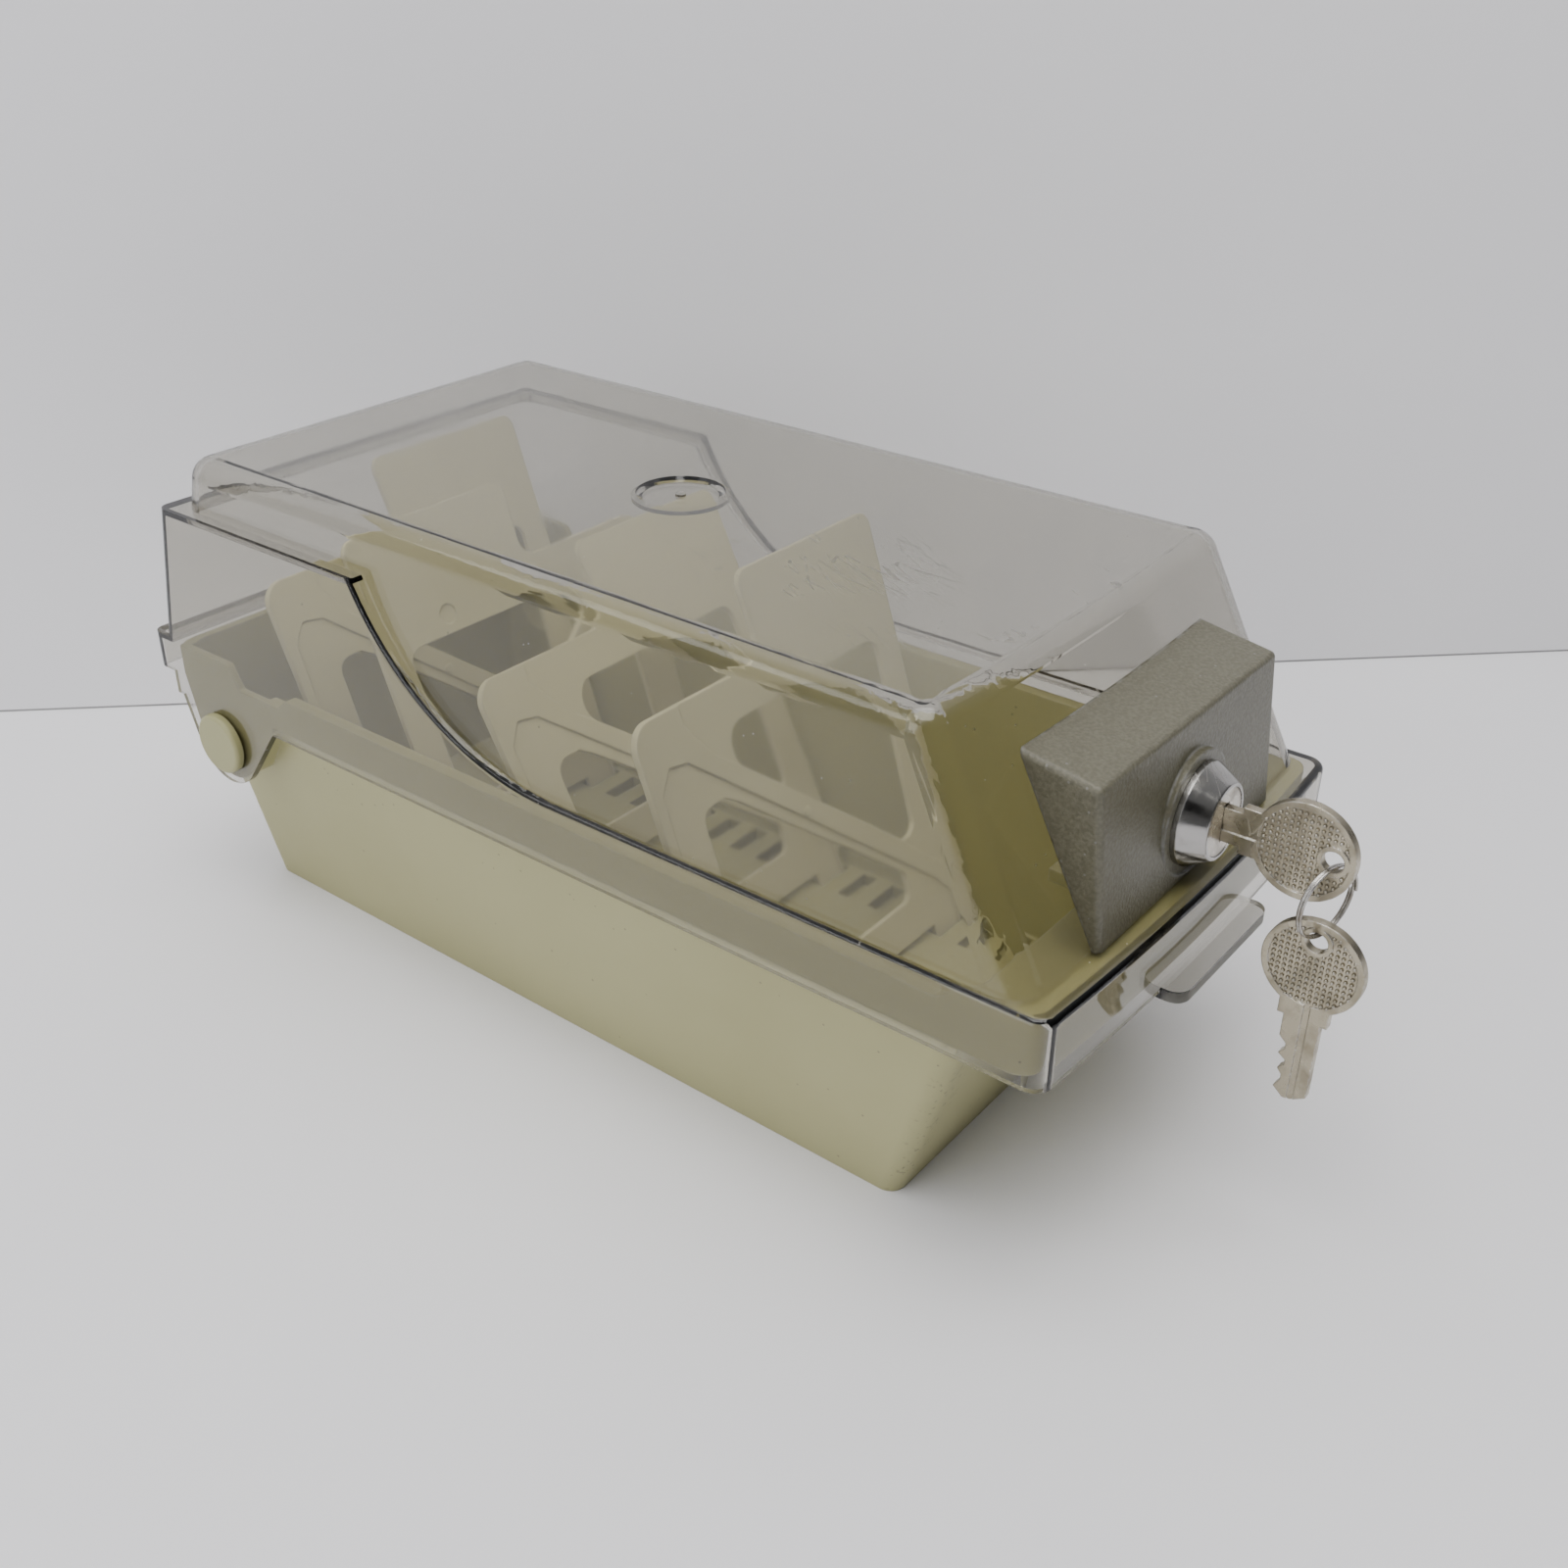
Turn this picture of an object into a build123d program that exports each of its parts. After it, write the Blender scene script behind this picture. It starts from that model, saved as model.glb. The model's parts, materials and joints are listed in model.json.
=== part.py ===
# Locking desk-top disk file: a tapered tray, a hinged see-through lid, four tilting dividers
# and a wafer cam lock with two keys on a ring.  Millimetres, +Z up, the lock towards -Y.
# Origin: centre of the tray's underside.
from build123d import *
from math import acos, atan2, cos, hypot, radians, sin, sqrt
import os

os.makedirs("parts", exist_ok=True)

# ---- driving dimensions ------------------------------------------------------------------
# tray
tray_wall = 2.3
base_half_width = 47.1
base_half_length = 107.75
side_lean = 0.184               # how far each wall leans out for each mm of height
front_lean = 0.344
rear_lean = 0.085
rim_z = 71.3                    # side rims
front_rim_z = 74.0
rear_rim_z = 74.5
scallop_z = 68.3                # dip in the rim above each ear
band_half_width = 61.2
band_bottom_z = 61.5
band_front = -145.0             # apron under the lid's front flange
band_rear = 113.9
apron_thickness = 2.2
floor_z = 8.5
floor_thickness = 4.2
foot_width = 3.0                # ring the tray stands on
rib_width = 2.4
cross_rib_y = 36.0
front_wall_foot_z = 56.0        # the wall is whole below this height
scallop_y = (70.0, 73.5, 89.0, 92.5)    # where the dip starts, is full, and ends

# slots for the divider feet
slot_count = 21
slot_pitch = 9.67
first_slot_y = -93.86
slot_length = 4.4
slot_depth = 3.6
slot_width = 12.4
slot_x = 38.8

# lid
lid_wall = 2.0
skirt_half_width = 63.5
skirt_front = -148.6
skirt_bow = 2.4                 # fronts bulge forward in plan
skirt_bottom_z = 60.2
skirt_blank_z = 30.0            # block the skirt is cut from
skirt_blank_height = 100.0
ledge_z = 76.5                  # low ledge, front half
ledge_round = 1.8
high_ledge_z = 113.5            # high ledge, rear half
sweep_start_y = -23.5           # where the ledge starts to climb
sweep_radius = 66.6
rear_wall_top_y = 109.6
rear_wall_foot_y = 117.3
rear_band_y = 122.6
rear_band_bottom_z = 66.5
cover_z = 126.7
cover_half_width = 58.9
cover_front = -116.4
cover_rear = 102.25
cover_foot_half_width = 61.8
cover_foot_front = -142.3
cover_foot_rear = 112.5
cover_bow = 1.7
cover_front_gain = 1.12         # extra inset for the slanting front wall
cover_round = 6.0
cover_inner_round = 4.0
dimple_y = -8.25
dimple_radius = 10.6
dimple_floor_radius = 9.0
dimple_depth = 1.0
tab_half_width = 20.5
tab_front = -155.8
tab_back = -149.2
tab_bottom_z = 58.8
tab_top_z = 61.6

# hinge
hinge_y = 97.7
hinge_z = 51.2
ear_radius = 12.0
ear_front_y = 75.8
ear_rear = (115.6, 66.5)
ear_inset = 1.2                 # tray ears stand this far inside the lid's ears
pin_radius = 4.0
pin_hole_radius = 4.06
pin_head_radius = 8.25
pin_head_thickness = 2.3
pin_head_gap = 0.3
pin_snap_radius = 4.6

# dividers, in their own plane: across, and up from the tilt axis
divider_thickness = 2.0
divider_foot = 2.3
divider_foot_half_width = 45.5
divider_top_half_width = 47.7
divider_shoulder = 89.0
divider_top = 109.4
tab_left = -3.0
lug_inner = 33.6
lug_outer = 44.0
lug_depth = 2.5
relief_depth = 0.5
divider_slots = [3, 7, 12, 16]
divider_leans = [20.1, 27.5, 19.3, 21.2]    # degrees back from upright
divider_turns = [1, 1, -1, 1]               # -1 stands the other way round

# lock housing
housing_half_width = 38.0
housing_wall = 2.4
housing_foot_y = -145.0
ridge_y = -141.7
ridge_z = 111.2
housing_top_z = 115.0
housing_round = 1.4
opening_half_width = 30.0
opening_bottom_z = 78.3
opening_top_z = 107.0
opening_back_y = -120.0
opening_depth = 40.0
housing_back_y = -118.0

# lock: heights along its own axis, from the seat on the housing
lock_z = 90.3
seat_y = -144.4
seat_radius = 13.4
bezel_radius = 11.25
bezel_nose_radius = 8.25
bezel_edge = 1.2
bezel_height = 6.4
barrel_radius = 9.0
barrel_flat = 7.9
barrel_end = -18.4
bore_radius = 6.56
plug_radius = 6.5
plug_face = 6.2
plug_flange = 4.8
plug_flange_radius = 7.4
keyway_width = 2.4
keyway_height = 8.5
inner_boss_radius = 11.4
inner_boss_end = -5.6
nut_flats = 20.6
nut_thickness = 3.0
washer_thickness = 0.8
cam_front = -20.2
cam_thickness = 2.0
cam_hub_radius = 7.0
cam_arm_width = 6.0
cam_reach = 25.8
cam_foot = 12.0
cam_foot_thickness = 4.0
cam_tip_round = 1.2
tail_flats = 5.0
tail_gap = 0.4                  # plug stands this far past the barrel
wafer_depths = [-0.6, -3.0, -5.4, -7.8]     # front face of each wafer, from the seat
wafer_thickness = 1.0
wafer_size = (7.0, 10.8)
wafer_slot = (8.0, 11.0)
screw_radius = 1.5
screw_head_radius = 3.0
screw_head_height = 1.8
cam_washer_radius = 4.5
cam_washer_thickness = 0.6
keeper = (-13.0, -5.0, 70.0, 73.0)  # tongue on the tray: x from, x to, z from, z to
keeper_end_y = -118.75

# keys
key_thickness = 2.0
key_head_radius = 10.65
key_blade = 7.7
key_blade_length = 20.5
key_head_centre = 33.5          # from the tip
key_hole_offset = 6.0           # from the head's centre
key_hole_radius = 2.3
key_tip_y = -134.0
ring_radius = 8.0
ring_wire = 0.75
ring_clearance = 0.15
ring_turn = 17.0                # degrees the ring has swung round from square
key_slot_depth = 11.2           # keyway, from the seat


def rounded_plan(plane, half_width, front, rear, front_round, rear_round, bow=0.0):
    """Plan outline with a bowed or straight front and its own corner rounds."""
    with BuildSketch(plane) as plan:
        with BuildLine():
            if bow:
                ThreePointArc((-half_width, front), (0, front - bow), (half_width, front))
            else:
                Line((-half_width, front), (half_width, front))
            Polyline((half_width, front), (half_width, rear), (-half_width, rear), (-half_width, front))
        make_face()
        fillet(plan.vertices().group_by(Axis.Y)[-1], radius=rear_round)
        fillet(plan.vertices().group_by(Axis.Y)[0], radius=front_round)
    return plan.sketch


def tray_plan(z, inset, corner):
    """Tray section at height z, moved in by inset."""
    half_width = base_half_width + side_lean * z - inset
    front = -base_half_length - front_lean * z + inset
    rear = base_half_length + rear_lean * z - inset
    return rounded_plan(Plane.XY.offset(z), half_width, front, rear, corner, corner)


def cover_plan(z, inset, corner, rear_corner):
    """Lid cover section at height z, moved in by inset."""
    share = (z - ledge_z) / (cover_z - ledge_z)
    half_width = cover_foot_half_width + share * (cover_half_width - cover_foot_half_width) - inset
    front = cover_foot_front + share * (cover_front - cover_foot_front) + cover_front_gain * inset
    rear = cover_foot_rear + share * (cover_rear - cover_foot_rear) - inset
    return rounded_plan(Plane.XY.offset(z), half_width, front, rear, corner, rear_corner, cover_bow)


def touch_point(point, radius, side):
    """Where a line from an outside point touches the ear's circle."""
    away_y = point[0] - hinge_y
    away_z = point[1] - hinge_z
    angle = atan2(away_z, away_y) + side * acos(radius / hypot(away_y, away_z))
    return (hinge_y + radius * cos(angle), hinge_z + radius * sin(angle))


def ear_side(radius, front_y, rear_point, top_z):
    """Side view of an ear: a round end below, widening to the skirt above."""
    front_point = (front_y, skirt_bottom_z)
    front_touch = touch_point(front_point, radius, 1)
    rear_touch = touch_point(rear_point, radius, -1)
    with BuildSketch(Plane.YZ) as side:
        with BuildLine():
            Polyline(front_touch, front_point, (front_y, top_z), (rear_point[0], top_z), rear_point,
                     rear_touch)
            ThreePointArc(rear_touch, (hinge_y, hinge_z - radius), front_touch)
        make_face()
    return side.sketch


def skirt_side(inset, bottom_z, rear_points):
    """Side view of the skirt: low ledge, climbing arc, high ledge, rear wall and what follows it."""
    radius = sweep_radius + inset
    centre_z = ledge_z + sweep_radius
    top_z = high_ledge_z - inset
    end_y = sweep_start_y + sqrt(radius ** 2 - (centre_z - top_z) ** 2)
    half_angle = atan2(end_y - sweep_start_y, centre_z - top_z) / 2
    middle = (sweep_start_y + radius * sin(half_angle), centre_z - radius * cos(half_angle))
    with BuildSketch(Plane.YZ) as side:
        with BuildLine():
            ThreePointArc((sweep_start_y, ledge_z - inset), middle, (end_y, top_z))
            Polyline((end_y, top_z), (rear_wall_top_y - inset, top_z), *rear_points,
                     (skirt_front - 9, bottom_z), (skirt_front - 9, ledge_z - inset), (sweep_start_y,
                                                                                       ledge_z - inset))
        make_face()
        fillet(side.vertices().filter_by(lambda v: v.Z > top_z - 0.1), radius=3 - inset)
    return side.sketch


# ---- tray --------------------------------------------------------------------------------
front_wall_top = -base_half_length - front_lean * front_rim_z
front_wall_foot = -base_half_length - front_lean * front_wall_foot_z
keeper_root_y = -base_half_length - front_lean * keeper[2] + 0.8
hollow_rear = -base_half_length - front_lean * band_bottom_z
with BuildPart() as tray:
    loft([tray_plan(0, 0, 4), tray_plan(rear_rim_z, 0, 5)], ruled=True)
    # rim band and front apron
    extrude(rounded_plan(Plane.XY.offset(band_bottom_z), band_half_width, band_front, band_rear, 5, 4,
                         skirt_bow),
            amount=rear_rim_z - band_bottom_z)
    # ears behind the lid's ears
    extrude(ear_side(ear_radius - ear_inset, ear_front_y + ear_inset, (ear_rear[0] - 3, ear_rear[1]),
                     rear_rim_z),
            amount=band_half_width, both=True)
    # inside of the tray
    loft([tray_plan(floor_z, tray_wall, 3), tray_plan(rear_rim_z + 1, tray_wall, 4)], ruled=True,
         mode=Mode.SUBTRACT)
    # pockets inside the ears, open to the tray
    extrude(ear_side(ear_radius - ear_inset - 2, ear_front_y + ear_inset + 2, (ear_rear[0] - 5, ear_rear[1]),
                     rear_rim_z), amount=band_half_width - 2, both=True, mode=Mode.SUBTRACT)
    # hollow behind the apron, open below
    extrude(rounded_plan(Plane.XY.offset(band_bottom_z), band_half_width - 2, band_front + apron_thickness,
                         hollow_rear, 3, 0.5, skirt_bow),
            amount=front_rim_z - apron_thickness - band_bottom_z, mode=Mode.SUBTRACT)
    # front wall, put back where the hollow crossed it
    with BuildSketch(Plane.YZ):
        with BuildLine():
            Polyline((front_wall_foot, front_wall_foot_z), (front_wall_top, front_rim_z),
                     (front_wall_top + tray_wall, front_rim_z), (front_wall_foot + tray_wall,
                                                                 front_wall_foot_z),
                     close=True)
        make_face()
    extrude(amount=base_half_width + side_lean * front_wall_foot_z, both=True)
    # rim line: lower sides, dips above the ears
    with BuildSketch(Plane.YZ) as rim_cut:
        with BuildLine():
            Polyline((band_front - 9, rear_rim_z + 5), (band_front - 9, front_rim_z), (-128, front_rim_z),
                     (-124, rim_z), (scallop_y[0], rim_z), (scallop_y[1], scallop_z),
                     (scallop_y[2], scallop_z), (scallop_y[3], rear_rim_z),
                     (band_rear + 9, rear_rim_z), (band_rear + 9, rear_rim_z + 5), close=True)
        make_face()
        fillet(rim_cut.vertices().filter_by(lambda v: -130 < v.Y < 95), radius=1.5)
    extrude(amount=band_half_width + 9, both=True, mode=Mode.SUBTRACT)
    # underside: a foot ring, a long rib and two cross ribs
    with BuildSketch(Plane.XY):
        Rectangle(2 * (base_half_width - foot_width), 2 * (base_half_length - foot_width))
        Rectangle(rib_width, 2 * base_half_length, mode=Mode.SUBTRACT)
        with Locations((0, -cross_rib_y), (0, cross_rib_y)):
            Rectangle(2 * base_half_width, rib_width, mode=Mode.SUBTRACT)
    extrude(amount=floor_z - floor_thickness, mode=Mode.SUBTRACT)
    # slots for the divider feet
    with BuildSketch(Plane.XY.offset(floor_z)):
        for row in range(slot_count):
            with Locations((-slot_x, first_slot_y + row * slot_pitch),
                           (slot_x, first_slot_y + row * slot_pitch)):
                Rectangle(slot_width, slot_length)
    extrude(amount=-slot_depth, mode=Mode.SUBTRACT)
    # keeper tongue that the cam hooks under
    with BuildSketch(Plane.XY.offset(keeper[2])):
        with Locations(((keeper[0] + keeper[1]) / 2, (keeper_root_y + keeper_end_y) / 2)):
            Rectangle(keeper[1] - keeper[0], keeper_end_y - keeper_root_y)
    extrude(amount=keeper[3] - keeper[2])
    # pin holes
    with BuildSketch(Plane.YZ):
        with Locations((hinge_y, hinge_z)):
            Circle(pin_radius)
    extrude(amount=band_half_width + 1, both=True, mode=Mode.SUBTRACT)
tray.part.label = "tray"
export_step(tray.part, "parts/tray.step")


# ---- lid ---------------------------------------------------------------------------------
with BuildPart() as cover_block:
    loft([cover_plan(ledge_z - 3, 0, 8, 6.5), cover_plan(cover_z, 0, 7, 6.5)], ruled=True)
    fillet(cover_block.edges().filter_by(lambda e: e.center().Z > cover_z - 0.01), radius=cover_round)

skirt_rear = [(rear_wall_foot_y, ledge_z), (rear_band_y, ledge_z), (rear_band_y, rear_band_bottom_z),
              ear_rear,
              (ear_rear[0], skirt_bottom_z)]
cavity_rear = [(rear_wall_foot_y - lid_wall, ledge_z - lid_wall), (rear_band_y, ledge_z - lid_wall),
               (rear_band_y, skirt_blank_z - 1)]
with BuildPart() as skirt_block:
    extrude(rounded_plan(Plane.XY.offset(skirt_blank_z), skirt_half_width, skirt_front, rear_band_y, 4.5, 3,
                         skirt_bow), amount=skirt_blank_height)
    extrude(skirt_side(0, skirt_bottom_z, skirt_rear), amount=skirt_half_width + 1, both=True,
            mode=Mode.INTERSECT)
    rear_corners = skirt_block.edges().filter_by(
        lambda e: abs(e.center().X) > 63 and e.center().Y > 112 and 90 < e.center().Z < 100)
    fillet(rear_corners, radius=3)
    ledge_rim = skirt_block.edges().filter_by(
        lambda e: e.center().Z > ledge_z - 0.1 and (abs(e.center().X) > 61 or e.center().Y < skirt_front)
        and e.center().Y < 60)
    fillet(ledge_rim, radius=ledge_round)

with BuildPart() as skirt_cavity:
    extrude(rounded_plan(Plane.XY.offset(skirt_blank_z - 1), skirt_half_width - lid_wall,
                         skirt_front + lid_wall,
                         rear_band_y - lid_wall, 2.5, 1, skirt_bow), amount=skirt_blank_height)
    extrude(skirt_side(lid_wall, skirt_blank_z - 1, cavity_rear), amount=skirt_half_width, both=True,
            mode=Mode.INTERSECT)

with BuildPart() as cover_cavity:
    loft([cover_plan(ledge_z - 3, lid_wall, 6, 4.5),
          cover_plan(cover_z - lid_wall, lid_wall, 5, 4.5)], ruled=True)
    fillet(cover_cavity.edges().filter_by(lambda e: e.center().Z > cover_z - lid_wall - 0.01),
           radius=cover_inner_round)

with BuildPart() as lid:
    add(skirt_block.part)
    extrude(ear_side(ear_radius, ear_front_y, ear_rear, ear_rear[1] + 4), amount=skirt_half_width, both=True)
    add(cover_block.part)
    add(skirt_cavity.part, mode=Mode.SUBTRACT)
    add(cover_cavity.part, mode=Mode.SUBTRACT)
    # dimple in the top, with its moulding nub, and the pad under it
    with BuildSketch(Plane.XY.offset(cover_z - lid_wall - dimple_depth)):
        with Locations((0, dimple_y)):
            Circle(dimple_radius + 1)
    extrude(amount=dimple_depth)
    with BuildSketch(Plane.XY.offset(cover_z)):
        with Locations((0, dimple_y)):
            Circle(dimple_radius)
    with BuildSketch(Plane.XY.offset(cover_z - dimple_depth)):
        with Locations((0, dimple_y)):
            Circle(dimple_floor_radius)
    loft(mode=Mode.SUBTRACT)
    with BuildSketch(Plane.XY.offset(cover_z - dimple_depth)):
        with Locations((0, dimple_y)):
            Circle(1.3)
    extrude(amount=0.5)
    # lift tab under the front flange
    with BuildSketch(Plane.XY.offset(tab_bottom_z)) as tab_plan:
        with Locations((0, (tab_front + tab_back) / 2)):
            Rectangle(2 * tab_half_width, tab_back - tab_front)
        fillet(tab_plan.vertices().group_by(Axis.Y)[0], radius=3.5)
    extrude(amount=tab_top_z - tab_bottom_z)
    # opening behind the lock housing
    with BuildSketch(Plane.XZ.offset(-opening_back_y)) as opening:
        with Locations((0, (opening_bottom_z + opening_top_z) / 2)):
            Rectangle(2 * opening_half_width, opening_top_z - opening_bottom_z)
        fillet(opening.vertices(), radius=3)
    extrude(amount=opening_depth, mode=Mode.SUBTRACT)
    # pin holes
    with BuildSketch(Plane.YZ):
        with Locations((hinge_y, hinge_z)):
            Circle(pin_hole_radius)
    extrude(amount=skirt_half_width + 1, both=True, mode=Mode.SUBTRACT)
lid.part.label = "lid"
export_step(lid.part, "parts/lid.step")


# ---- hinge pins --------------------------------------------------------------------------
pin_seat = skirt_half_width + pin_head_gap
with BuildPart() as hinge_pin_shape:
    with BuildSketch(Plane.XY):
        with BuildLine():
            Polyline((-pin_seat - pin_head_thickness, 0), (-pin_seat - pin_head_thickness, pin_head_radius),
                     (-pin_seat, pin_head_radius), (-pin_seat, pin_radius),
                     (-band_half_width + 2.1, pin_radius), (-band_half_width + 2.1, pin_snap_radius),
                     (-band_half_width + 4.6, pin_radius - 1), (-band_half_width + 4.6, 0), close=True)
        make_face()
    revolve(axis=Axis.X)
    cap_edge = hinge_pin_shape.edges().filter_by(GeomType.CIRCLE).sort_by(Axis.X)[0]
    fillet(cap_edge, radius=1)
    with BuildSketch(Plane.YZ.offset(-band_half_width + 5)):
        Rectangle(1.2, 12)
    extrude(amount=-4, mode=Mode.SUBTRACT)

for side, name in ((1, "hinge_pin_left"), (-1, "hinge_pin_right")):
    with BuildPart() as hinge_pin:
        with Locations((0, hinge_y, hinge_z)):
            add(hinge_pin_shape.part if side == 1 else hinge_pin_shape.part.mirror(Plane.YZ))
    hinge_pin.part.label = name
    export_step(hinge_pin.part, f"parts/{name}.step")


# ---- dividers ----------------------------------------------------------------------------
def divider_plane(slot, lean, turn):
    """The divider's own plane: x across, y up the panel, z out of its marked face."""
    back = radians(lean)
    origin = (0, first_slot_y + slot * slot_pitch, floor_z)
    return Plane(origin=origin, x_dir=(turn, 0, 0), z_dir=(0, -turn * cos(back), turn * sin(back)))


def divider_shape():
    """One divider lying in its own plane."""
    with BuildPart() as panel:
        with BuildSketch() as outline:
            with BuildLine():
                Polyline((-divider_foot_half_width, divider_foot), (divider_foot_half_width, divider_foot),
                         (divider_top_half_width, divider_top), (tab_left - 1, divider_top),
                         (tab_left, divider_shoulder), (-divider_top_half_width,
                                                        divider_shoulder), close=True)
            make_face()
            fillet(outline.vertices().group_by(Axis.Y)[0], radius=5)
            fillet(outline.vertices().group_by(Axis.Y)[-1], radius=3.5)
            fillet(outline.vertices().filter_by(lambda v: abs(v.X - tab_left) < 0.1), radius=5)
            fillet(outline.vertices().sort_by(Axis.X)[0], radius=6)
        extrude(amount=divider_thickness / 2, both=True)
        # feet that drop into the floor's slots
        with BuildSketch():
            for side in (-1, 1):
                with Locations((side * (lug_inner + lug_outer) / 2, (divider_foot + 3 - lug_depth) / 2)):
                    Rectangle(lug_outer - lug_inner, divider_foot + 3 + lug_depth)
        extrude(amount=divider_thickness / 2, both=True)
        # the two windows either side of the slanting bar
        with BuildSketch() as upper_window:
            with BuildLine():
                Polyline((-19, 79), (39, 79), (36, 28), (30.5, 28), (-19, 69.5), close=True)
            make_face()
            fillet(upper_window.vertices().group_by(Axis.X)[0], radius=5.5)
            fillet(upper_window.vertices().filter_by(lambda v: v.X > 35), radius=4)
        extrude(amount=divider_thickness, both=True, mode=Mode.SUBTRACT)
        with BuildSketch() as lower_window:
            with BuildLine():
                Polyline((-34, 12.5), (27, 12.5), (28, 20), (-22, 61.5), (-26, 64), (-34, 64), close=True)
            make_face()
            fillet(lower_window.vertices().filter_by(lambda v: v.X < -33), radius=4)
            fillet(lower_window.vertices().filter_by(lambda v: v.X > 25), radius=3)
        extrude(amount=divider_thickness, both=True, mode=Mode.SUBTRACT)
        # shallow fields in the marked face, leaving a raised slanting band
        with BuildSketch(Plane.XY.offset(divider_thickness / 2)) as fields:
            with BuildLine():
                Polyline((-32, 120), (-32, 84), (-25, 74), (0, 55), (45, 14), (60, 14), (60, 120), close=True)
            make_face()
            with BuildLine():
                Polyline((-44, -9), (-44, 72), (-40, 77), (-34, 76), (38, 14), (43, 8), (43, -9), close=True)
            make_face()
        extrude(amount=-relief_depth, mode=Mode.SUBTRACT)
        # moulding dot on the band, and ejector marks on the back
        with BuildSketch(Plane.XY.offset(divider_thickness / 2 - 0.2)):
            with Locations((-1.5, 50)):
                Circle(1.2)
        extrude(amount=0.5)
        with BuildSketch(Plane.XY.offset(-divider_thickness / 2)):
            with Locations((-24, 84), (24, 84)):
                Circle(2.5)
        extrude(amount=0.25, mode=Mode.SUBTRACT)
    return panel.part


divider_flat = divider_shape()
for number in range(4):
    stand = divider_plane(divider_slots[number], divider_leans[number], divider_turns[number])
    with BuildPart(stand) as divider:
        add(divider_flat)
    divider.part.label = f"divider_{number + 1}"
    export_step(divider.part, f"parts/divider_{number + 1}.step")


# ---- lock housing ------------------------------------------------------------------------
def housing_side(inset):
    """Side view of the housing, its walls moved in by inset."""
    with BuildSketch(Plane.YZ) as side:
        with BuildLine():
            Polyline((housing_foot_y + inset, ledge_z - inset), (ridge_y + inset, ridge_z - inset * 0.75),
                     (housing_back_y, housing_top_z - inset), (housing_back_y, ledge_z - inset), close=True)
        make_face()
        fillet(side.vertices().filter_by(lambda v: v.Y < -130 and v.Z > 100), radius=2)
    return side.sketch


lock_plane = Plane(origin=(0, seat_y, lock_z), x_dir=(1, 0, 0), z_dir=(0, -1, 0))
with BuildPart() as lock_housing:
    extrude(housing_side(0), amount=housing_half_width, both=True)
    fillet(lock_housing.edges().filter_by(lambda e: e.center().Y < -122 and e.center().Z > ledge_z + 1),
           radius=housing_round)
    extrude(housing_side(housing_wall), amount=housing_half_width - housing_wall, both=True,
            mode=Mode.SUBTRACT)
    # seat ring round the lock, and its backing inside
    with BuildSketch(lock_plane):
        Circle(seat_radius)
    extrude(amount=-2)
    add(cover_block.part, mode=Mode.SUBTRACT)
    with BuildSketch(lock_plane.offset(-1)):
        Circle(inner_boss_radius)
    extrude(amount=inner_boss_end + 1)
    # flat seat in front and the hole for the barrel
    with BuildSketch(lock_plane):
        Circle(seat_radius)
    extrude(amount=4, mode=Mode.SUBTRACT)
    with BuildSketch(lock_plane.offset(5)):
        Circle(barrel_radius)
        Rectangle(2 * barrel_flat, 2 * barrel_radius, mode=Mode.INTERSECT)
    extrude(amount=-20, mode=Mode.SUBTRACT)
lock_housing.part.label = "lock_housing"
export_step(lock_housing.part, "parts/lock_housing.step")


# ---- lock --------------------------------------------------------------------------------
with BuildPart() as lock_body:
    with BuildSketch(lock_plane):
        Circle(bezel_radius)
    extrude(amount=bezel_edge)
    with BuildSketch(lock_plane.offset(bezel_edge)):
        Circle(bezel_radius)
    with BuildSketch(lock_plane.offset(bezel_height)):
        Circle(bezel_nose_radius)
    loft()
    fillet(lock_body.edges().filter_by(GeomType.CIRCLE).sort_by(Axis.Y)[0], radius=0.6)
    with BuildSketch(lock_plane):
        Circle(barrel_radius)
        Rectangle(2 * barrel_flat, 2 * barrel_radius, mode=Mode.INTERSECT)
    extrude(amount=barrel_end)
    with BuildSketch(lock_plane.offset(barrel_end)):
        Circle(bore_radius)
    extrude(amount=40, mode=Mode.SUBTRACT)
    with BuildSketch(lock_plane.offset(plug_flange - 0.05)):
        Circle(plug_flange_radius + 0.08)
    extrude(amount=9, mode=Mode.SUBTRACT)
lock_body.part.label = "lock_body"
export_step(lock_body.part, "parts/lock_body.step")

with BuildPart() as lock_washer:
    with BuildSketch(lock_plane.offset(inner_boss_end)):
        Circle(inner_boss_radius - 0.4)
        Circle(barrel_radius, mode=Mode.SUBTRACT)
    extrude(amount=-washer_thickness)
lock_washer.part.label = "lock_washer"
export_step(lock_washer.part, "parts/lock_washer.step")

with BuildPart() as lock_nut:
    with BuildSketch(lock_plane.offset(inner_boss_end - washer_thickness)):
        RegularPolygon(radius=nut_flats / 2, side_count=6, major_radius=False, rotation=30)
        Circle(barrel_radius, mode=Mode.SUBTRACT)
    extrude(amount=-nut_thickness)
lock_nut.part.label = "lock_nut"
export_step(lock_nut.part, "parts/lock_nut.step")

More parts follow.
